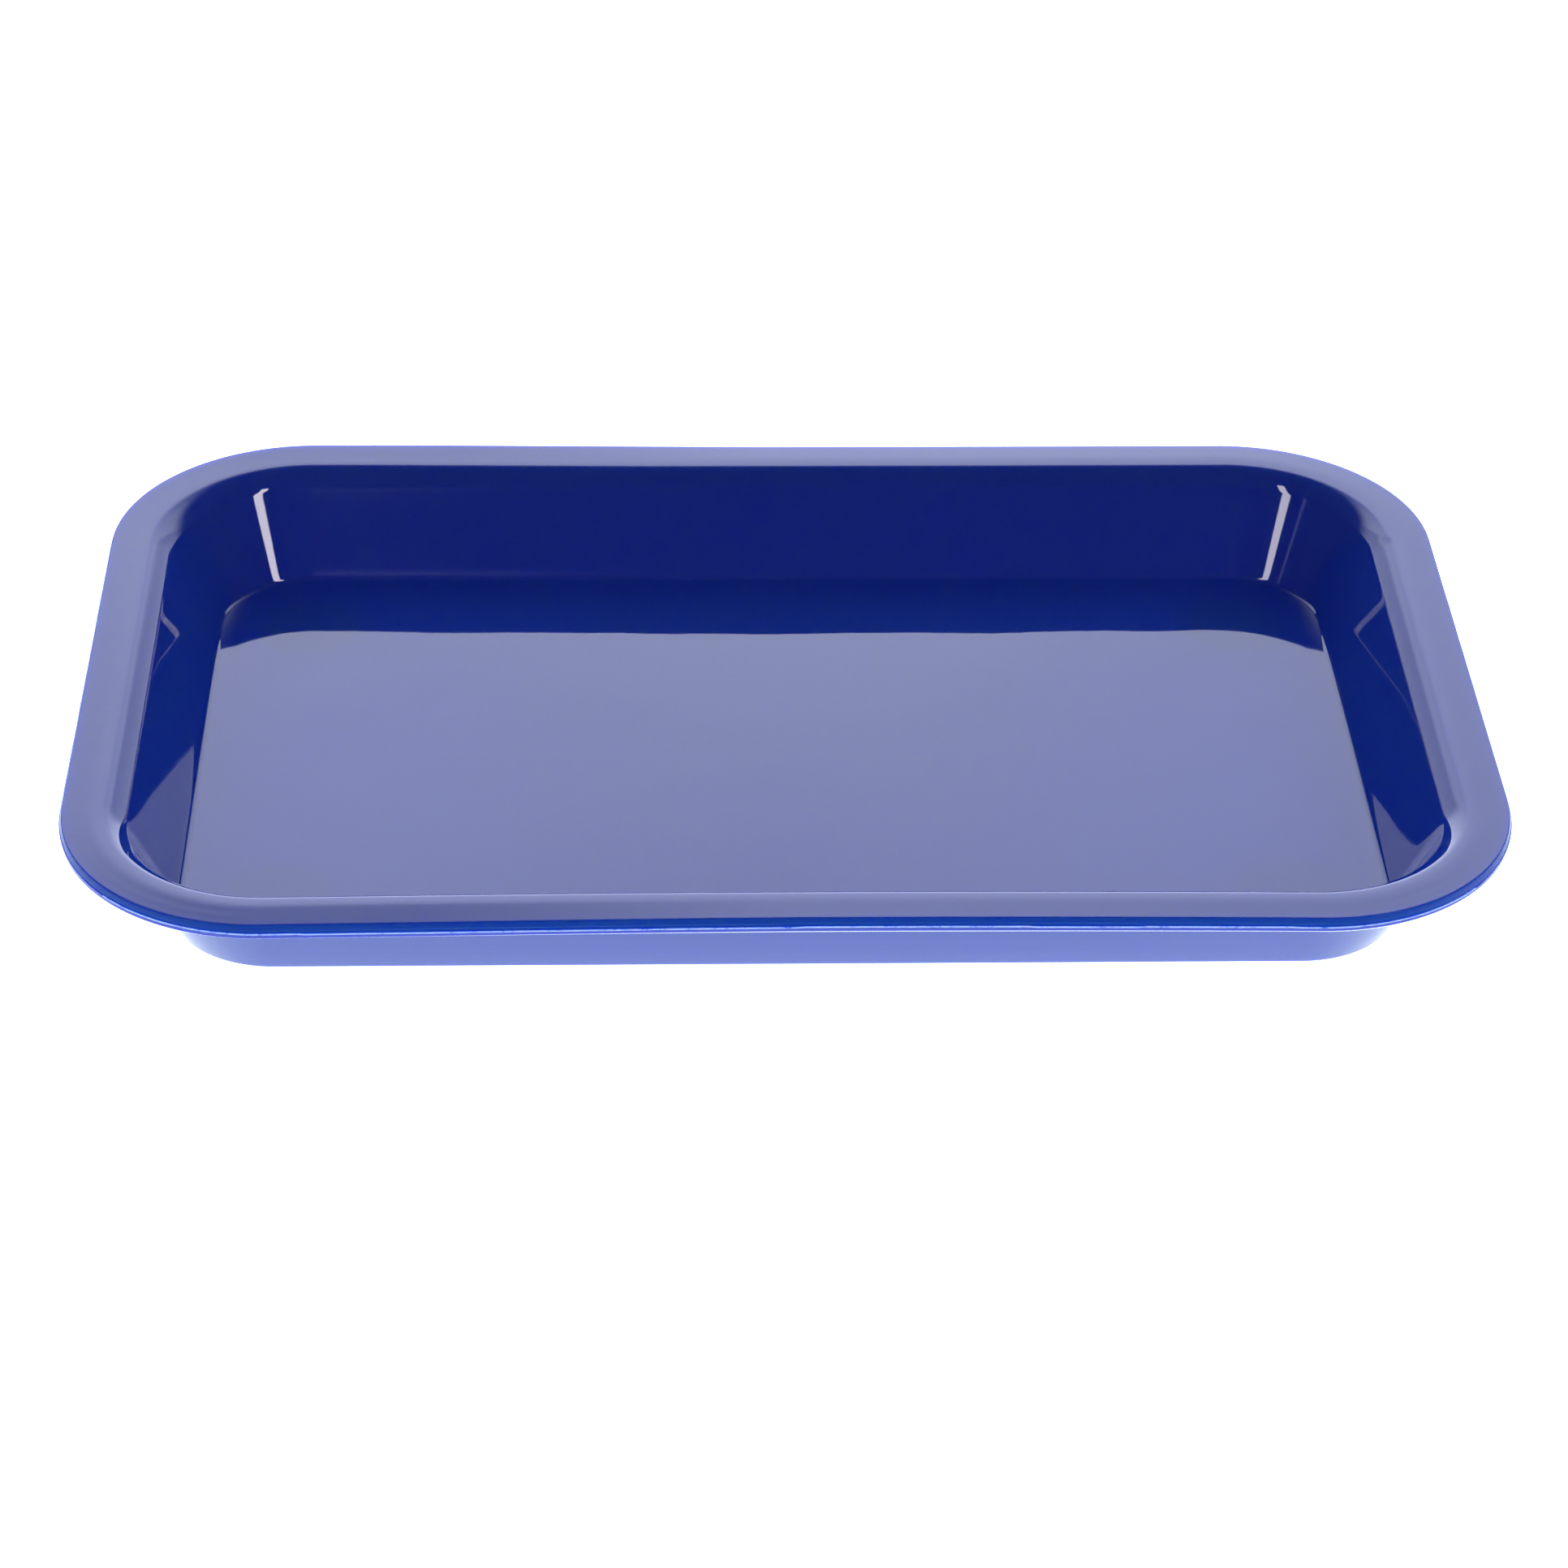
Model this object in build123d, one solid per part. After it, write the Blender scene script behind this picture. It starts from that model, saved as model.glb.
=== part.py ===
from build123d import *
import math
import os

# Rectangular serving tray: one compression-moulded plastic shell that stands on four stuck-on rubber feet.
# Millimetres, +Z up, X along the tray. The origin is on the table, under the middle of the tray.

# Tray shell, seen from above
tray_length = 300.0
tray_width = 195.0
corner_radius = 44.0  # of the rim's outer edge; every outline inside it is parallel to it

# Tray shell, in section
shell_height = 25.8  # underside of the floor to the top of the rim
rim_width = 11.3  # outer edge to the corner of rim and wall, before that corner is rolled
rim_edge_height = 3.7
floor_thickness = 3.0
wall_thickness = 2.6
wall_lean = 27.0  # degrees from upright, opening upwards
floor_strip = 3.0  # floor that is made together with the wall, inside the wall's foot

# Roundings of the section
rim_edge_top_radius = 0.7
rim_edge_low_radius = 0.9
rim_roll_radius = 8.0
under_rim_radius = 5.0
inner_floor_radius = 1.6
outer_floor_radius = 2.0

# Rubber feet, one in a shallow recess under each corner of the floor
foot_diameter = 23.0
foot_height = 1.5
foot_edge_radius = 0.5
recess_diameter = 24.0
recess_depth = 0.8
adhesive_diameter = 22.0
adhesive_thickness = 0.3

# Heights above the table
recess_roof = foot_height + adhesive_thickness
shell_bottom = recess_roof - recess_depth

# The corner arcs' centres, where the feet also are
corner_x = tray_length / 2 - corner_radius
corner_y = tray_width / 2 - corner_radius
foot_places = {
    "foot_front_left": (-corner_x, -corner_y),
    "foot_front_right": (corner_x, -corner_y),
    "foot_rear_left": (-corner_x, corner_y),
    "foot_rear_right": (corner_x, corner_y),
}


def wall_section():
    """The rim, wall and foot of the wall: x is inwards from the rim's edge, y is up from the floor's underside."""
    lean = math.tan(math.radians(wall_lean))
    rim_underside = shell_height - rim_edge_height
    inner_wall_foot = rim_width + (shell_height - floor_thickness) * lean
    outer_wall_foot = rim_width + shell_height * lean - wall_thickness / math.cos(math.radians(wall_lean))
    outer_wall_top = outer_wall_foot - rim_underside * lean
    strip_end = inner_wall_foot + floor_strip

    corners = [
        (strip_end, floor_thickness),
        (inner_wall_foot, floor_thickness),
        (rim_width, shell_height),
        (0, shell_height),
        (0, rim_underside),
        (outer_wall_top, rim_underside),
        (outer_wall_foot, 0),
        (strip_end, 0),
    ]
    radii = [
        inner_floor_radius,
        rim_roll_radius,
        rim_edge_top_radius,
        rim_edge_low_radius,
        under_rim_radius,
        outer_floor_radius,
    ]
    outline = FilletPolyline(*corners, radius=radii)
    closing_line = Line(corners[-1], corners[0])
    return make_face(outline + closing_line), strip_end


def tray_shell():
    """Straight runs and quarter-turn corners of one section, round a flat floor with four recesses below."""
    section, strip_end = wall_section()

    front_plane = Plane(origin=(0, -tray_width / 2, shell_bottom), x_dir=(0, 1, 0), z_dir=(1, 0, 0))
    front_run = extrude(front_plane * section, amount=corner_x)
    corner_axis = Axis((corner_x, -corner_y, 0), (0, 0, 1))
    corner_turn = revolve(front_plane.offset(corner_x) * section, axis=corner_axis, revolution_arc=90)
    side_plane = Plane(origin=(tray_length / 2, -corner_y, shell_bottom), x_dir=(-1, 0, 0), z_dir=(0, 1, 0))
    side_run = extrude(side_plane * section, amount=corner_y)

    quarter = front_run + corner_turn + side_run
    right_half = quarter + mirror(quarter, Plane.XZ)
    ring = right_half + mirror(right_half, Plane.YZ)

    floor_outline = RectangleRounded(
        tray_length - 2 * strip_end,
        tray_width - 2 * strip_end,
        corner_radius - strip_end,
    )
    floor = extrude(Pos(0, 0, shell_bottom) * floor_outline, amount=floor_thickness)
    shell = ring + floor

    for x, y in foot_places.values():
        shell -= Pos(x, y, shell_bottom) * Cylinder(
            recess_diameter / 2, recess_depth, align=(Align.CENTER, Align.CENTER, Align.MIN)
        )
    return shell


def foot(x, y):
    """A flat rubber disc with a rounded lower edge, its underside on the table."""
    disc = Cylinder(foot_diameter / 2, foot_height, align=(Align.CENTER, Align.CENTER, Align.MIN))
    disc = fillet(disc.edges().sort_by(Axis.Z)[0], foot_edge_radius)
    return Pos(x, y, 0) * disc


def adhesive_discs():
    """The thin discs that hold the feet to the roofs of their recesses."""
    disc = Cylinder(
        adhesive_diameter / 2, adhesive_thickness, align=(Align.CENTER, Align.CENTER, Align.MIN)
    )
    return Compound(children=[Pos(x, y, foot_height) * disc for x, y in foot_places.values()])


os.makedirs("parts", exist_ok=True)
export_step(tray_shell(), "parts/tray_shell.step")
export_step(adhesive_discs(), "parts/foot_adhesive_discs.step")
for name, (x, y) in foot_places.items():
    export_step(foot(x, y), f"parts/{name}.step")
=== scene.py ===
import math

import bmesh
import bpy
from mathutils import Matrix, Vector, noise


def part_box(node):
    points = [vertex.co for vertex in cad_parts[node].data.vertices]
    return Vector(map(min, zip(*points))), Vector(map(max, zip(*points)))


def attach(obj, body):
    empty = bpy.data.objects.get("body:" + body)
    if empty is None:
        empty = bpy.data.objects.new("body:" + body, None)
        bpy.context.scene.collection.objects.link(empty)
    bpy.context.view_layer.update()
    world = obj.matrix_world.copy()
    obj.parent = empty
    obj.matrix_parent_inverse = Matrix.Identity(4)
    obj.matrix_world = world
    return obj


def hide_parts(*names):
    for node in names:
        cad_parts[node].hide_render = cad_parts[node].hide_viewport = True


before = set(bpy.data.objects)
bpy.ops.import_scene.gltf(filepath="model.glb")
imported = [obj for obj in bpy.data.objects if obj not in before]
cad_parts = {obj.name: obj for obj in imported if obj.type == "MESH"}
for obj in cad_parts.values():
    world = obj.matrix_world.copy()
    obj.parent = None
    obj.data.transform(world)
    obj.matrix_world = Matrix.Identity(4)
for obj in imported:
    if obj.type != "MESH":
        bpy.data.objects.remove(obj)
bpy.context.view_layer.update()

# ---------------------------------------------------------------- sizes, in metres
MM = 0.001
shell_low, shell_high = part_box("tray_shell")
half_length = shell_high.x
half_width = shell_high.y
corner_radius = 44.0 * MM
corner_x = half_length - corner_radius
corner_y = half_width - corner_radius

FEET = ("foot_front_left", "foot_front_right", "foot_rear_left", "foot_rear_right")
foot_low, foot_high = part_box(FEET[0])
foot_radius = (foot_high.x - foot_low.x) / 2
recess_radius = foot_radius + 0.5 * MM
recess_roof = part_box("foot_adhesive_discs")[1].z

# The tray's section: d runs in from the rim's outermost line, and slopes are in degrees
rim_top = shell_high.z
shell_bottom = shell_low.z
parting_drop = 1.95 * MM  # rim top down to the mould's parting line
rim_drop = 3.65 * MM  # rim top down to the rim's underside
under_rim_start = 1.3 * MM  # d where the rim's flat underside starts
lower_chamfer = 0.80 * MM  # between the rim's underside and its edge
lower_round = 0.12 * MM  # on that chamfer's inner corner
groove_depth = 0.24 * MM  # of the groove above the parting line
ledge_depth = 0.17 * MM  # of the ledge above the groove
upper_land_slope = 69.0  # of the rim edge's upper land
edge_break = 0.30 * MM  # radius between the upper land and the rim's top
land_width = 0.7 * MM  # d of the break between the rim's edge and its top
ridge_line = 6.0 * MM  # d where the rim is highest
ridge_radius = 24.0 * MM
outer_slope = -2.0  # of the rim's top outside the ridge
inner_slope = 5.5  # of the rim's top inside the ridge
roll_line = 8.3 * MM  # d where the rim starts to roll into the wall
wall_slope = 63.0  # of the wall's inner face
roll_arcs = (  # the roll's radii, the slope that each ends at, and its number of steps
    (3.8 * MM, 30, 10),
    (12.2 * MM, 50, 9),
    (3.0 * MM, wall_slope, 4),
)
wall_tilt = math.radians(wall_slope)
floor_thickness = 3.0 * MM
wall_thickness = 2.6 * MM
wall_line = 11.0 * MM  # d where the wall's inner plane, carried up, meets the rim's top
floor_fillet = 1.6 * MM
under_rim_fillet = 5.0 * MM
bottom_fillet = 2.0 * MM
bottom_start = 2.4 * MM  # from the foot of the wall in to the bottom's outermost row

# The moulding's own warp
front_bow = 2.2 * MM  # how far the middle of the front rim has moved inwards
rear_bow = 0.5 * MM  # the same for the rear rim
rear_lift = 0.55 * MM  # how far the rear edge's left half has risen
front_droop = 0.45 * MM  # how far the front edge's left half has sunk
end_flare = 0.70 * MM  # how far the front and rear edges stand out
side_flare = 0.35 * MM  # how far the left and right edges stand out
rear_roll = 0.65 * MM  # how far further in the rear rim's roll starts
floor_crown = 1.0 * MM  # how far the middle of the floor has risen
floor_swell = 0.050  # mm, height of the floor's slow ripple
floor_ripple = 0.012  # mm, height of its quicker ripple
rim_ripple = 0.006  # mm, how unevenly the rim's rows lie
wall_ripple = 0.014  # mm, how much more unevenly the wall's rows lie
ring_height = 0.0045 * MM  # of the turned rings at the front corners
ring_spacing = 2.2 * MM


# ---------------------------------------------------------------- the tray's section
def arc(points, radius, start, end, steps):
    """Goes on from the last point along an arc whose surface slopes from start to end degrees."""
    d0, z0 = points[-1]
    a0 = math.radians(start)
    for i in range(1, steps + 1):
        a = math.radians(start + (end - start) * i / steps)
        points.append((
            d0 + radius * (math.sin(a) - math.sin(a0)),
            z0 + radius * (math.cos(a) - math.cos(a0)),
        ))


def top_section():
    """The ridged rim, the roll, the wall and the fillet to the floor, from the rim's edge inwards."""
    slope = math.tan(math.radians(outer_slope))
    ridge_start = ridge_line + ridge_radius * math.sin(math.radians(outer_slope))
    ridge_z = rim_top - ridge_radius * (1 - math.cos(math.radians(outer_slope)))
    points = []
    facet_steps = 15
    for i in range(facet_steps + 1):
        d = land_width + (ridge_start - land_width) * i / facet_steps
        points.append((d, ridge_z + (ridge_start - d) * slope))
    arc(points, ridge_radius, outer_slope, inner_slope, 6)
    d, z = points[-1]
    points.append((roll_line, z - (roll_line - d) * math.tan(math.radians(inner_slope))))
    start = inner_slope
    for radius, end, steps in roll_arcs:
        arc(points, radius, start, end, steps)
        start = end

    d, z = points[-1]
    floor_z = shell_bottom + floor_thickness
    drop = z - floor_z - floor_fillet * (1 - math.cos(wall_tilt))
    wall_steps = 12
    for i in range(1, wall_steps + 1):
        points.append((d + drop / math.tan(wall_tilt) * i / wall_steps, z - drop * i / wall_steps))
    d, z = points[-1]
    fillet_steps = 8
    for i in range(1, fillet_steps + 1):
        a = wall_tilt * (1 - i / fillet_steps)
        points.append((
            d + floor_fillet * (math.sin(wall_tilt) - math.sin(a)),
            floor_z + floor_fillet * (1 - math.cos(a)),
        ))
    return points


def edge_section(top_start):
    """The rim's edge, upwards: chamfer, lower land, parting line, groove, ledge, upper land, break.

    Also gives the first and last rows of the flash on the parting line.
    """
    under_z = rim_top - rim_drop
    parting_z = rim_top - parting_drop
    points = [(under_rim_start, under_z)]
    for i in range(4):
        a = math.pi - math.radians(45) * i / 3
        points.append((
            lower_chamfer + lower_round * (0.7 - math.sin(a)),
            under_z + lower_round * (1 + math.cos(a)),
        ))
    chamfer_z = points[-1][1] + points[-1][0]
    points.append((0.0, chamfer_z))
    flash_rows = (len(points) + 1, len(points) + 4)
    parting_rows = (  # d and height above the parting line
        (0.0, -0.18 * MM),
        (0.0, -0.15 * MM),
        (0.0, 0.08 * MM),
        (0.06 * MM, 0.12 * MM),
        (0.10 * MM, 0.14 * MM),
        (groove_depth, 0.50 * MM),
        (ledge_depth, 0.55 * MM),
        (ledge_depth, 0.68 * MM),
    )
    points += [(d, parting_z + height) for d, height in parting_rows]
    d_top, z_top = top_start
    land_tilt = math.radians(upper_land_slope)
    top_tilt = math.radians(-outer_slope)
    d_break = d_top - edge_break * (math.sin(land_tilt) - math.sin(top_tilt))
    z_break = z_top - edge_break * (math.cos(top_tilt) - math.cos(land_tilt))
    d_low, z_low = points[-1]
    for share in (0.06, 0.35, 0.7, 1.0):
        points.append((d_low + (d_break - d_low) * share, z_low + (z_break - z_low) * share))
    for i in range(1, 6):
        a = land_tilt + (top_tilt - land_tilt) * i / 6
        points.append((
            d_break + edge_break * (math.sin(land_tilt) - math.sin(a)),
            z_break + edge_break * (math.cos(a) - math.cos(land_tilt)),
        ))
    return points, flash_rows


def under_section():
    """The outside of the tray from the bottom's flat up the wall and out along the rim's underside."""
    lean = math.pi / 2 - wall_tilt
    foot_d = wall_line + (rim_top - shell_bottom) * math.tan(lean) - wall_thickness / math.cos(lean)
    top_z = rim_top - rim_drop
    top_d = foot_d - (top_z - shell_bottom) * math.tan(lean)
    points = [(foot_d + bottom_start, shell_bottom)]
    setback = bottom_fillet * math.tan(wall_tilt / 2)
    for i in range(9):
        a = wall_tilt * i / 8
        points.append((
            foot_d + setback - bottom_fillet * math.sin(a),
            shell_bottom + bottom_fillet * (1 - math.cos(a)),
        ))
    setback = under_rim_fillet * math.tan(wall_tilt / 2)
    arc_points = []
    for i in range(13):
        a = wall_tilt * (1 - i / 12)
        arc_points.append((
            top_d - setback + under_rim_fillet * math.sin(a),
            top_z - under_rim_fillet * (1 - math.cos(a)),
        ))
    d0, z0 = points[-1]
    d1, z1 = arc_points[0]
    for share in (0.25, 0.5, 0.75):
        points.append((d0 + (d1 - d0) * share, z0 + (z1 - z0) * share))
    points += arc_points
    points.append(((top_d - setback + under_rim_start) / 2, top_z))
    return points


# ---------------------------------------------------------------- the tray's shell
CORNERS = ((1, -1), (1, 1), (-1, 1), (-1, -1))


def outline_steps():
    """Steps round the tray, anticlockwise from the front right corner.

    Each is (is it on a corner's arc, the corner, its share of the arc or of the side that follows).
    """
    arc_steps, short_side_steps, long_side_steps = 40, 50, 96
    steps = []
    for corner in range(4):
        side_steps = short_side_steps if corner % 2 == 0 else long_side_steps
        steps += [(True, corner, i / arc_steps) for i in range(arc_steps)]
        steps += [(False, corner, i / side_steps) for i in range(side_steps)]
    return steps


STEPS = outline_steps()


def clamped(value):
    """The value kept between 0 and 1."""
    return min(max(value, 0), 1)


def flare(d):
    """1 at the rim's edge, falling to 0 at its ridge."""
    return clamped(1 - d / ridge_line)


def outline_point(step, d):
    """The plan position of one step on the outline that lies d inside the rim's edge."""
    on_arc, corner, share = step
    sx, sy = CORNERS[corner]
    nx, ny = (sx, sy) if on_arc else CORNERS[(corner + 1) % 4]
    a = -math.pi / 2 + (corner + (share if on_arc else 1)) * math.pi / 2
    x = (sx + (nx - sx) * share) * corner_x + (corner_radius - d + side_flare * flare(d)) * math.cos(a)
    y = (sy + (ny - sy) * share) * corner_y + (corner_radius - d + end_flare * flare(d)) * math.sin(a)
    return x, y


def rear_roll_shift(x, y, d):
    """How far further in the rear rim's roll starts, except towards its left end."""
    along = clamped((x + 90 * MM) / (60 * MM))
    rise = clamped((d - ridge_line) / (2.5 * MM))
    fall = clamped((13.5 * MM - d) / (4.5 * MM))
    return rear_roll * along * rise * fall if y > corner_y else 0


def wave(x, y, z, pitch, seed):
    """Smooth noise of about -1 to 1 that varies over the pitch."""
    return noise.noise(Vector((x, y, z)) / pitch + Vector((seed, 2.3 * seed, 0.7 * seed)))


def warped(x, y, z, d):
    """Where the moulding's own warp takes a point: bowed rims, a lifted and a drooping edge."""
    height = clamped((z - shell_bottom) / (rim_top - shell_bottom)) ** 1.5
    front = clamped(-y / half_width)
    rear = clamped(y / half_width)
    left = clamped(-x / (75 * MM))
    along = max(1 - (x / half_length) ** 2, 0)
    bow = front_bow * front - rear_bow * rear
    lift = (rear_lift * rear - front_droop * front) * left * flare(d)
    return Vector((x, y + bow * along * height, z + lift))


def flash_at(x, y):
    """How far the parting line's trimmed flash stands out at a place on the rim."""
    slow = 0.05 * wave(x, y, 0, 24 * MM, 3.1)
    quick = 0.03 * wave(x, y, 0, 4 * MM, 9.2)
    chips = 0.35 * max(wave(x, y, 0, 9 * MM, 1.7) - 0.25, 0)
    return (0.09 + slow + quick + chips) * MM


def flash_height(x, y):
    """How far the parting line wanders up or down: slowly, and in small steps where it was trimmed."""
    slow = 0.12 * wave(x, y, 0, 30 * MM, 4.6)
    steps = 0.16 * round(2.2 * wave(x, y, 0, 55 * MM, 6.4))
    return (slow + steps) * MM


def turning_rings(x, y, d):
    """Faint rings that run round the front corners of the rim's top."""
    near = clamped((-y - corner_y + 10 * MM) / (20 * MM)) * clamped((abs(x) - corner_x) / (12 * MM))
    inside = clamped(d / MM - 1) * clamped(9 - d / MM)
    return ring_height * near * inside * math.sin(2 * math.pi * d / ring_spacing)


def ring(mesh, d, z, flash=0.0, parting=0.0, ripple=0.0):
    """One closed row of vertices round the tray, at d and z before the warp.

    flash and parting are its shares of the flash and of the parting line's wander; ripple is in metres.
    """
    row = []
    for step in STEPS:
        x, y = outline_point(step, d)
        if flash:
            x, y = outline_point(step, d - flash * flash_at(x, y))
        if ripple:
            rings = turning_rings(x, y, d)
            uneven = ripple * wave(x, y, z, 13 * MM, 5.2)
            x, y = outline_point(step, d + rear_roll_shift(x, y, d) + uneven)
            row.append(mesh.verts.new(warped(x, y, z + rings, d)))
            continue
        row.append(mesh.verts.new(warped(x, y, z + parting * flash_height(x, y), d)))
    return row


def floor_rings(mesh, outer_row):
    """The tray's floor as rings that shrink to the middle, very slightly crowned and rippled."""
    floor_z = shell_bottom + floor_thickness
    ring_count = 34
    rows = []
    for i in range(1, ring_count):
        share = 1 - i / ring_count
        row = []
        for corner in outer_row:
            x, y = corner.co.x * share, corner.co.y * share
            across = max(1 - (x / (110 * MM)) ** 2, 0) ** 3
            crown = floor_crown * across * (1 - share ** 2)
            fade = min((1 - share) * 12, 1)
            swell = floor_swell * wave(x, y, 0, 24 * MM, 8.1)
            ripple = fade * (swell + floor_ripple * wave(x, y, 0, 9 * MM, 2.9)) * MM
            row.append(mesh.verts.new((x, y, floor_z + crown + ripple)))
        rows.append(row)
    return rows


def bridge(mesh, first, second, material=0):
    """Joins two closed rows with a band of faces."""
    count = len(first)
    for i in range(count):
        j = (i + 1) % count
        face = mesh.faces.new((first[i], first[j], second[j], second[i]))
        face.material_index = material


def bottom_with_recesses(mesh, rim_row):
    """The flat underside, its four round foot recesses and their roofs."""
    count = len(rim_row)
    edges = [mesh.edges.get((rim_row[i], rim_row[(i + 1) % count])) for i in range(count)]
    sides = 64
    lip = 0.15 * MM
    recess = (
        (recess_radius + lip, shell_bottom),
        (recess_radius, shell_bottom + lip),
        (recess_radius, recess_roof - lip),
        (recess_radius - lip, recess_roof),
    )
    for sx, sy in CORNERS:
        x, y = sx * corner_x, sy * corner_y
        rows = []
        for radius, z in recess:
            turns = [2 * math.pi * i / sides for i in range(sides)]
            rows.append([
                mesh.verts.new((x + radius * math.cos(a), y + radius * math.sin(a), z)) for a in turns
            ])
        for lower, upper in zip(rows, rows[1:]):
            bridge(mesh, upper, lower)
        mesh.faces.new(rows[-1])
        edges += [mesh.edges.get((rows[0][i], rows[0][(i + 1) % sides])) for i in range(sides)]
    bmesh.ops.triangle_fill(mesh, use_beauty=True, use_dissolve=False, edges=edges, normal=(0, 0, -1))


POLISHED, BUFFED, FLASH = range(3)


def tray_shell():
    """The whole moulding as one closed mesh: polished faces, and a buffed rim edge with trimmed flash."""
    mesh = bmesh.new()
    top = top_section()
    edge, flash_rows = edge_section(top[0])
    parting_z = rim_top - parting_drop
    rows = [(ring(mesh, d, z), POLISHED) for d, z in under_section()]
    bottom_row = rows[0][0]
    for i, (d, z) in enumerate(edge):
        near = max(1 - abs(z - parting_z) / (0.15 * MM), 0)
        wander = max(1 - abs(z - parting_z) / (0.6 * MM), 0)
        finish = POLISHED if i < flash_rows[0] else FLASH if i <= flash_rows[1] else BUFFED
        rows.append((ring(mesh, d, z, flash=near, parting=wander), finish))
    for i, (d, z) in enumerate(top):
        on_wall = clamped((d - 13 * MM) / (3 * MM))
        ripple = (rim_ripple + wall_ripple * on_wall) * MM
        rows.append((ring(mesh, d, z, ripple=ripple if i < len(top) - 1 else 0), POLISHED))
    for (lower, _), (upper, finish) in zip(rows, rows[1:]):
        bridge(mesh, lower, upper, finish)
    floor = [rows[-1][0]] + floor_rings(mesh, rows[-1][0])
    for outer, inner in zip(floor, floor[1:]):
        bridge(mesh, outer, inner)
    centre = mesh.verts.new((0, 0, sum(corner.co.z for corner in floor[-1]) / len(floor[-1])))
    for i in range(len(floor[-1])):
        mesh.faces.new((floor[-1][i], floor[-1][(i + 1) % len(floor[-1])], centre))
    bottom_with_recesses(mesh, bottom_row)
    bmesh.ops.recalc_face_normals(mesh, faces=mesh.faces)
    flash_whitening_and_highlight_line = corner_y + 30 * MM  # the flash keeps its pale colour, partly a painted highlight of the bright line of light along the edge, only on the front and rear edges
    for face in mesh.faces:
        face.smooth = True
        if face.material_index == FLASH and abs(face.calc_center_median().y) < flash_whitening_and_highlight_line:
            face.material_index = BUFFED
    return finished_object(mesh, "tray_moulding")


def finished_object(mesh, name):
    """Turns a bmesh into an object in the scene."""
    data = bpy.data.meshes.new(name)
    mesh.to_mesh(data)
    mesh.free()
    made = bpy.data.objects.new(name, data)
    bpy.context.scene.collection.objects.link(made)
    return made


# ---------------------------------------------------------------- the rubber feet
def rubber_foot(node):
    """A low moulded bumper: flat top, softly rounded side and ring grooves in its underside."""
    low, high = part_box(node)
    centre = (low + high) / 2
    height = high.z
    r = foot_radius
    top_round = 0.35 * MM
    low_round = 0.55 * MM
    section = [(0.0, height), (r - 1.2 * MM, height)]
    for i in range(7):
        a = math.radians(90 * i / 6)
        section.append((
            r - top_round + top_round * math.sin(a),
            height - top_round * (1 - math.cos(a)),
        ))
    for i in range(9):
        a = math.radians(90 * i / 8)
        section.append((
            r - low_round * (1 - math.cos(a)) - 0.05 * MM * math.sin(a),
            low_round * (1 - math.sin(a)),
        ))
    groove_pitch = 2.3 * MM
    grip_groove = 0.22 * MM
    place = r - 1.6 * MM
    while place > 2.0 * MM:
        section += [
            (place, 0.0),
            (place - 0.25 * MM, grip_groove),
            (place - 0.75 * MM, grip_groove),
            (place - 1.0 * MM, 0.0),
        ]
        place -= groove_pitch
    section.append((0.0, 0.0))

    mesh = bmesh.new()
    sides = 72
    rows = []
    for radius, z in section:
        if radius == 0:
            rows.append([mesh.verts.new((centre.x, centre.y, z))])
            continue
        rows.append([
            mesh.verts.new((
                centre.x + radius * math.cos(2 * math.pi * i / sides),
                centre.y + radius * math.sin(2 * math.pi * i / sides),
                z,
            ))
            for i in range(sides)
        ])
    for first, second in zip(rows, rows[1:]):
        for i in range(sides):
            j = (i + 1) % sides
            corners = [first[i % len(first)], first[j % len(first)]]
            corners += [second[j % len(second)], second[i % len(second)]]
            mesh.faces.new(list(dict.fromkeys(corners)))
    bmesh.ops.recalc_face_normals(mesh, faces=mesh.faces)
    for face in mesh.faces:
        face.smooth = True
    made = finished_object(mesh, node.replace("foot_", "rubber_foot_"))
    mark_sharp_edges(made, degrees=28)
    return made


def mark_sharp_edges(piece, degrees):
    """Keeps real corners crisp under smooth shading."""
    mesh = bmesh.new()
    mesh.from_mesh(piece.data)
    for edge in mesh.edges:
        if edge.is_manifold and edge.calc_face_angle(0) > math.radians(degrees):
            edge.smooth = False
    mesh.to_mesh(piece.data)
    mesh.free()


# ---------------------------------------------------------------- material helpers
class Nodes:
    """Short forms for making and linking shader nodes."""

    def __init__(self, tree):
        self.tree = tree

    def new(self, kind, **settings):
        node = self.tree.nodes.new(kind)
        for name, value in settings.items():
            setattr(node, name, value)
        return node

    def put(self, socket, value):
        if isinstance(value, bpy.types.NodeSocket):
            self.tree.links.new(value, socket)
        else:
            socket.default_value = value

    def math(self, operation, a, b=0.0):
        node = self.new("ShaderNodeMath", operation=operation)
        self.put(node.inputs[0], a)
        self.put(node.inputs[1], b)
        return node.outputs[0]

    def step(self, value, start, end):
        """0 before start, 1 after end, smooth between; start may be above end."""
        node = self.new("ShaderNodeMapRange", interpolation_type="SMOOTHSTEP")
        self.put(node.inputs["Value"], value)
        node.inputs["From Min"].default_value = start
        node.inputs["From Max"].default_value = end
        return node.outputs["Result"]

    def noise(self, vector, scale, detail, roughness=0.5):
        node = self.new("ShaderNodeTexNoise")
        self.put(node.inputs["Vector"], vector)
        node.inputs["Scale"].default_value = scale
        node.inputs["Detail"].default_value = detail
        node.inputs["Roughness"].default_value = roughness
        return node.outputs["Fac"]

    def mix(self, share, first, second):
        node = self.new("ShaderNodeMix", data_type="RGBA")
        self.put(node.inputs["Factor"], share)
        self.put(node.inputs["A"], first)
        self.put(node.inputs["B"], second)
        return node.outputs["Result"]

    def bump(self, height, distance):
        node = self.new("ShaderNodeBump")
        node.inputs["Distance"].default_value = distance
        node.inputs["Strength"].default_value = 1.0
        self.put(node.inputs["Height"], height)
        return node.outputs["Normal"]


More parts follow.
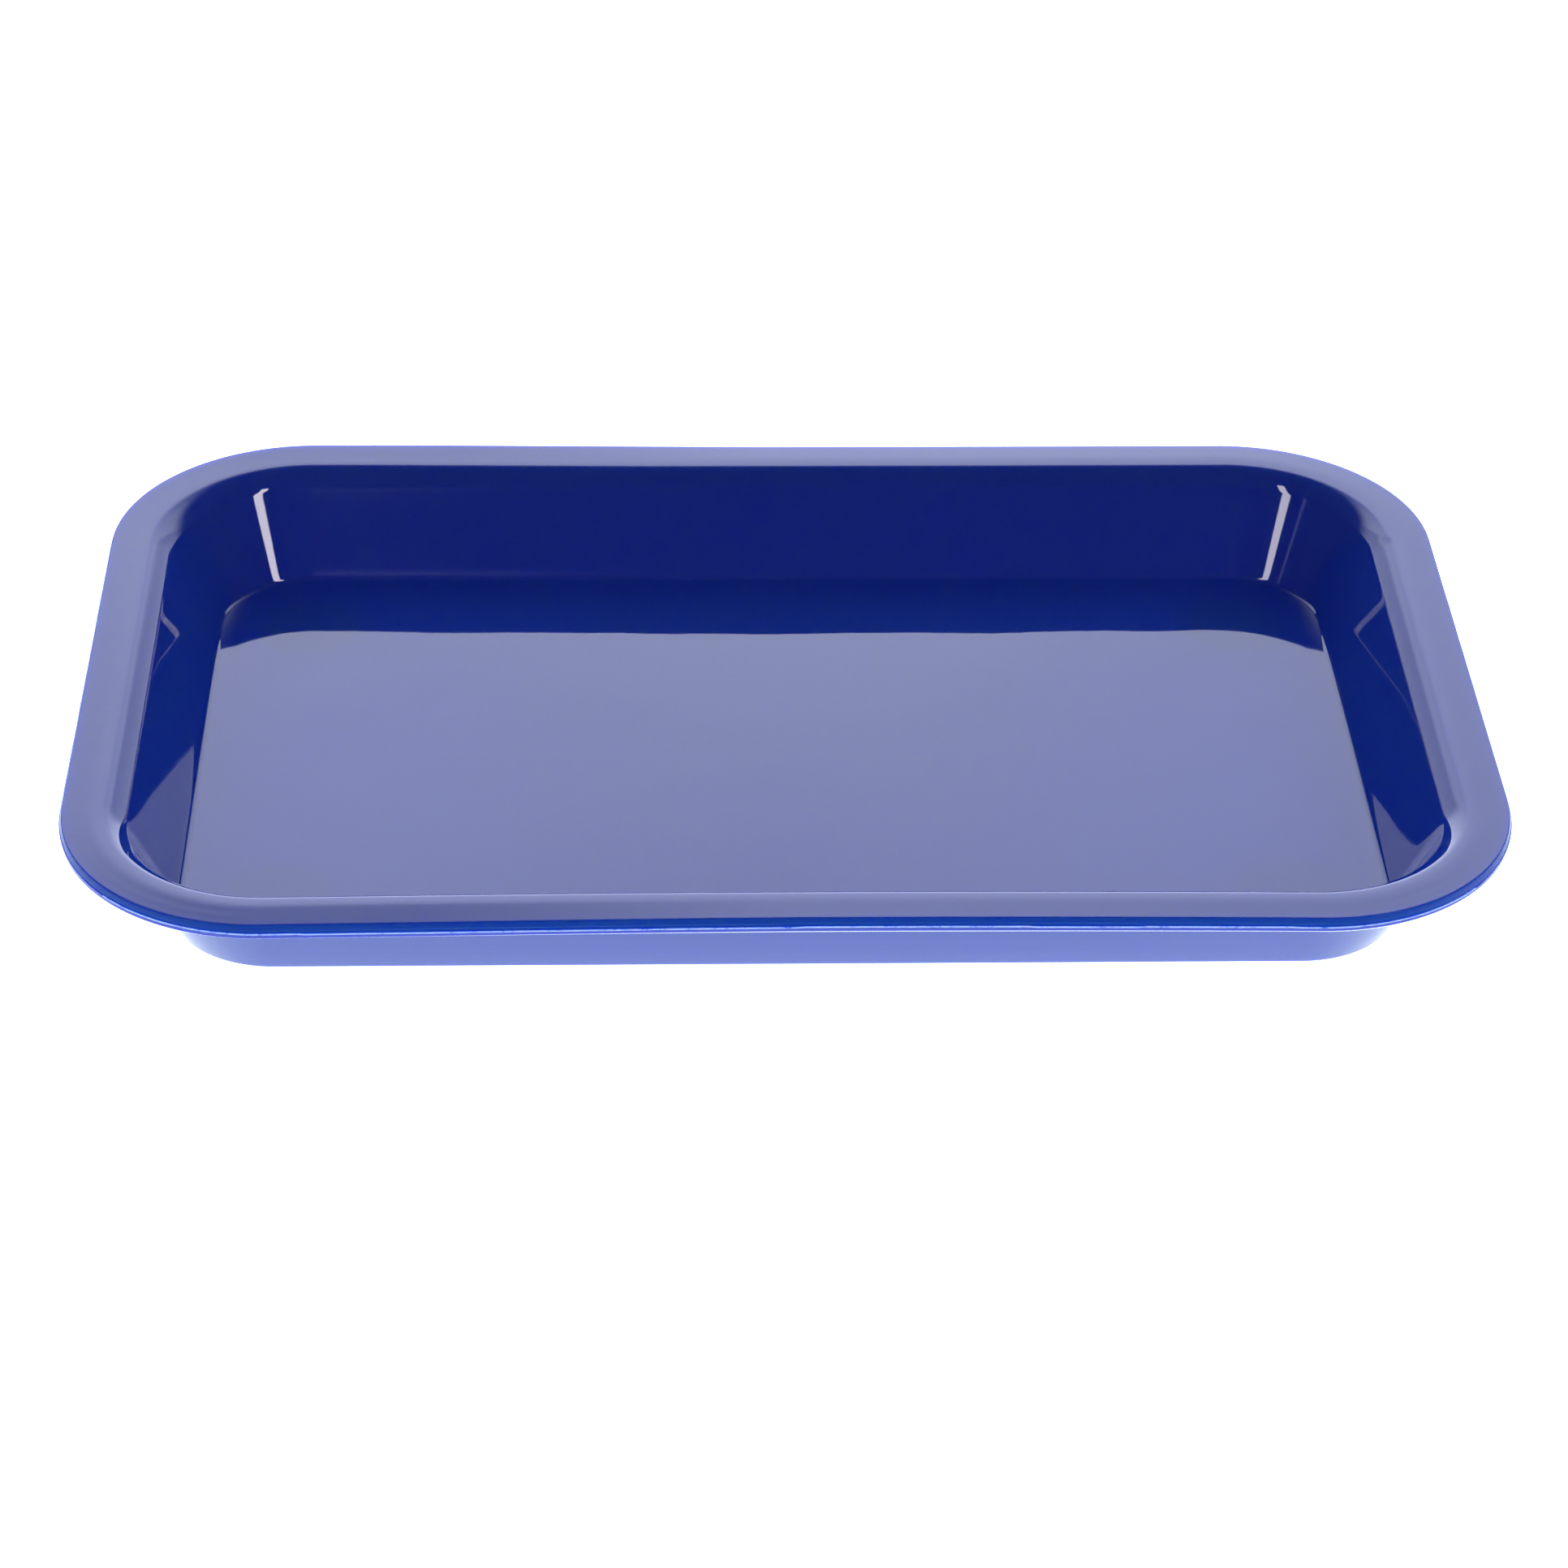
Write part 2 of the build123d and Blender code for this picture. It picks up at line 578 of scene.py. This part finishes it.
def new_material(name):
    """A material, its node maker and its shader."""
    material = bpy.data.materials.new(name)
    material.use_nodes = True
    tree = material.node_tree
    return material, Nodes(tree), tree.nodes["Principled BSDF"]


def colour(red, green, blue):
    return (red, green, blue, 1.0)


# ---------------------------------------------------------------- materials
def blue_plastic(name, low, high, roughness, pale=None, shine=0.5):
    """Slightly translucent blue moulding with clouding, dust and wipe marks.

    pale is the colour of pale patches, partly whitened trimmed plastic and partly a painted highlight that
    stands in for the bright line of light along the flash, and shine the specular level.
    """
    material, n, shader = new_material(name)
    place = n.new("ShaderNodeTexCoord").outputs["Object"]
    base = n.mix(n.noise(place, scale=14, detail=3), low, high)
    if pale:
        # Pale patches on the flash: partly whitened trimmed plastic, partly a painted highlight for the
        # bright line of light along the parting line
        whitening_and_highlight_share = n.step(n.noise(place, scale=420, detail=4, roughness=0.7), start=0.28, end=0.52)
        base = n.mix(whitening_and_highlight_share, base, pale)

    # A few specks of pale dust
    cells = n.new("ShaderNodeTexVoronoi", feature="F1")
    n.put(cells.inputs["Vector"], place)
    cells.inputs["Scale"].default_value = 95
    near_cell = n.step(cells.outputs["Distance"], start=0.030, end=0.018)
    pick = n.new("ShaderNodeSeparateColor")
    n.put(pick.inputs[0], cells.outputs["Color"])
    chosen = n.math("GREATER_THAN", pick.outputs[0], 0.975)
    dust = n.math("MULTIPLY", n.math("MULTIPLY", near_cell, chosen), 0.5)
    n.put(shader.inputs["Base Color"], n.mix(dust, base, colour(0.55, 0.58, 0.66)))

    # A thin haze and broad wipe marks in the gloss, over a very faint unevenness
    haze = n.math("MULTIPLY", n.noise(place, scale=60, detail=4), 0.018)
    wipe = n.math("MULTIPLY", n.noise(place, scale=9, detail=2), 0.020)
    rough = n.math("ADD", n.math("ADD", haze, wipe), n.math("MULTIPLY", dust, 0.5))
    n.put(shader.inputs["Roughness"], n.math("ADD", rough, roughness))
    peel = n.noise(place, scale=240, detail=2)
    peel_height = 0.003 * MM if roughness < 0.1 else 0.02 * MM
    n.put(shader.inputs["Normal"], n.bump(peel, peel_height))

    shader.inputs["IOR"].default_value = 1.5
    shader.inputs["Specular IOR Level"].default_value = shine
    shader.inputs["Subsurface Weight"].default_value = 1.0
    shader.inputs["Subsurface Radius"].default_value = (0.06, 0.12, 1.0)
    shader.inputs["Subsurface Scale"].default_value = 7.0 * MM
    return material


def foot_rubber():
    """Matt dark rubber with a fine grain and patches of paler bloom."""
    material, n, shader = new_material("grained_rubber")
    place = n.new("ShaderNodeTexCoord").outputs["Object"]
    grain = n.noise(place, scale=1800, detail=3, roughness=0.6)
    bloom = n.noise(place, scale=190, detail=4, roughness=0.6)
    n.put(shader.inputs["Base Color"], n.mix(bloom, colour(0.022, 0.022, 0.024), colour(0.060, 0.060, 0.064)))
    n.put(shader.inputs["Roughness"], n.math("ADD", 0.55, n.math("MULTIPLY", grain, 0.3)))
    n.put(shader.inputs["Normal"], n.bump(grain, 0.03 * MM))
    shader.inputs["IOR"].default_value = 1.52
    return material


def foam_tape():
    """White double-sided foam tape, open-celled and slightly stained."""
    material, n, shader = new_material("foam_tape")
    place = n.new("ShaderNodeTexCoord").outputs["Object"]
    cells = n.noise(place, scale=2600, detail=2)
    stain = n.noise(place, scale=300, detail=3)
    n.put(shader.inputs["Base Color"], n.mix(stain, colour(0.62, 0.61, 0.57), colour(0.80, 0.80, 0.77)))
    n.put(shader.inputs["Roughness"], n.math("ADD", 0.6, n.math("MULTIPLY", cells, 0.25)))
    n.put(shader.inputs["Normal"], n.bump(cells, 0.02 * MM))
    return material


def lit_floor():
    """A plain white table that glows evenly, as an acrylic product table lit from below does."""
    material, _, shader = new_material("white_table")
    shader.inputs["Base Color"].default_value = colour(0.72, 0.72, 0.73)
    shader.inputs["Roughness"].default_value = 0.9
    shader.inputs["Specular IOR Level"].default_value = 0.0
    shader.inputs["Emission Color"].default_value = colour(1.0, 1.12, 1.05)
    shader.inputs["Emission Strength"].default_value = 1.6
    return material


# ---------------------------------------------------------------- studio
def studio_world():
    """A bright sweep low behind the tray, a dark front side and two tall narrow lamps at its corners.

    behind and front are bearings in degrees from straight behind and straight in front of the tray.
    """
    world = bpy.data.worlds.new("studio")
    world.use_nodes = True
    bpy.context.scene.world = world
    n = Nodes(world.node_tree)
    background = world.node_tree.nodes["Background"]
    direction = n.new("ShaderNodeTexCoord").outputs["Generated"]
    parts = n.new("ShaderNodeSeparateXYZ")
    n.put(parts.inputs[0], direction)
    x, y, z = parts.outputs
    degrees = 180 / math.pi
    elevation = n.math("MULTIPLY", n.math("ARCSINE", z), degrees)
    behind = n.math("MULTIPLY", n.math("ARCTAN2", x, y), degrees)
    front = n.math("MULTIPLY", n.math("ARCTAN2", x, n.math("MULTIPLY", y, -1.0)), degrees)

    def window(value, middle, half, soft):
        """1 within half of the middle and 0 outside, with edges that fade over soft to each side."""
        off = n.math("ABSOLUTE", n.math("SUBTRACT", value, middle))
        return n.step(off, half + soft, half - soft)

    def lit(mask, power, tint):
        """The tint times the power where the mask is 1."""
        light = n.new("ShaderNodeVectorMath", operation="SCALE")
        light.inputs[0].default_value = tint
        n.put(light.inputs["Scale"], n.math("MULTIPLY", mask, power))
        return light.outputs[0]

    def add(first, second):
        both = n.new("ShaderNodeVectorMath", operation="ADD")
        n.put(both.inputs[0], first)
        n.put(both.inputs[1], second)
        return both.outputs[0]

    def dimmed(light, mask, share):
        """The light less this share of it where the mask is 1."""
        return n.math("MULTIPLY", light, n.math("SUBTRACT", 1.0, n.math("MULTIPLY", mask, share)))

    # The sweep, a little dimmer to the sides and much dimmer low down at its ends
    off_middle = n.math("ABSOLUTE", behind)
    sweep = n.math("MULTIPLY", window(behind, middle=0, half=52, soft=8), n.step(elevation, start=62, end=35))
    sweep = dimmed(sweep, n.step(off_middle, start=4, end=15), share=0.12)
    low_ends = n.math("MULTIPLY", n.step(off_middle, start=22, end=29), n.step(elevation, start=23, end=18))
    sweep = dimmed(sweep, low_ends, share=0.42)
    light = lit(sweep, power=2.72, tint=(1.0, 1.05, 1.24))

    # The tall lamps, which are the upright streaks in the rear corners
    lamp_rise = window(elevation, middle=35, half=16, soft=0.8)
    right_lamp = n.math("MULTIPLY", window(front, middle=43.5, half=3.9, soft=0.8), lamp_rise)
    left_lamp = n.math("MULTIPLY", window(front, middle=-46.5, half=3.7, soft=0.8), lamp_rise)
    light = add(light, lit(right_lamp, power=13.5, tint=(1.0, 0.93, 0.96)))
    light = add(light, lit(left_lamp, power=10.0, tint=(1.0, 0.96, 0.98)))

    # A faint strip to the left, a faint patch in front, and the room's own light
    white = (1.0, 1.0, 1.0)
    room = (0.06, 0.06, 0.06)
    strip_rise = window(elevation, middle=20, half=8, soft=4)
    strip = n.math("MULTIPLY", window(front, middle=-63, half=1.2, soft=1.0), strip_rise)
    patch_rise = window(elevation, middle=26, half=1.5, soft=2.5)
    patch = n.math("MULTIPLY", window(front, middle=-4, half=2.5, soft=3.0), patch_rise)
    faint = n.math("ADD", n.math("MULTIPLY", strip, 1.6), patch)
    light = add(light, lit(faint, power=0.4, tint=white))
    light = add(light, room)

    # The backdrop, as the camera sees it
    seen = n.new("ShaderNodeLightPath").outputs["Is Camera Ray"]
    n.put(background.inputs["Color"], n.mix(seen, light, colour(1.1, 1.1, 1.1)))
    background.inputs["Strength"].default_value = 1.0


def studio_floor():
    """The table top, which reaches 12 m from the tray on each side."""
    mesh = bmesh.new()
    bmesh.ops.create_grid(mesh, x_segments=1, y_segments=1, size=12.0)
    floor = finished_object(mesh, "studio_table")
    floor.data.materials.append(lit_floor())


def studio_camera():
    """The view from above the front, a little to the left, with a slight roll."""
    eye = Vector((-31.35 * MM, -812.01 * MM, 531.26 * MM + shell_bottom))
    pitch = math.radians(33.445)  # down from level
    turn = math.radians(2.293)  # to the right from straight back
    roll = math.radians(-1.027)
    forward = Vector((math.sin(turn) * math.cos(pitch), math.cos(turn) * math.cos(pitch), -math.sin(pitch)))
    level_right = Vector((math.cos(turn), -math.sin(turn), 0))
    level_down = forward.cross(level_right)
    right = math.cos(roll) * level_right + math.sin(roll) * level_down
    down = -math.sin(roll) * level_right + math.cos(roll) * level_down
    data = bpy.data.cameras.new("camera")
    data.sensor_width = 36.0
    data.lens = 101.0609
    data.clip_end = 50
    camera = bpy.data.objects.new("camera", data)
    bpy.context.scene.collection.objects.link(camera)
    camera.matrix_world = Matrix((
        (right.x, -down.x, -forward.x, eye.x),
        (right.y, -down.y, -forward.y, eye.y),
        (right.z, -down.z, -forward.z, eye.z),
        (0, 0, 0, 1),
    ))
    bpy.context.scene.camera = camera


# ---------------------------------------------------------------- the scene
def main():
    studio_camera()
    studio_world()
    studio_floor()
    bpy.context.scene.view_settings.view_transform = "Standard"

    polished = blue_plastic(
        "royal_blue_moulding",
        low=colour(0.0102, 0.0405, 0.294),
        high=colour(0.0112, 0.0445, 0.319),
        roughness=0.0,
    )
    buffed = blue_plastic(
        "buffed_blue_edge",
        low=colour(0.0080, 0.054, 0.310),
        high=colour(0.0100, 0.064, 0.350),
        roughness=0.20,
        shine=0.12,
    )
    # The flash's lighter blue and pale colours are partly a painted highlight standing in for the bright line
    # of light along the rim edge's parting line, and partly whitened trimmed plastic
    flash = blue_plastic(
        "trimmed_flash_and_painted_highlight",
        low=colour(0.0300, 0.100, 0.500),
        high=colour(0.0500, 0.140, 0.600),
        roughness=0.30,
        pale=colour(0.34, 0.47, 0.86),
    )
    rubber = foot_rubber()

    moulding = tray_shell()
    mark_sharp_edges(moulding, degrees=40)
    for material in (polished, buffed, flash):
        moulding.data.materials.append(material)
    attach(moulding, "root")
    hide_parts("tray_shell")

    for node in FEET:
        made = rubber_foot(node)
        made.data.materials.append(rubber)
        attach(made, "root")
        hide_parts(node)

    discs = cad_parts["foot_adhesive_discs"]
    discs.data.materials.clear()
    discs.data.materials.append(foam_tape())


main()
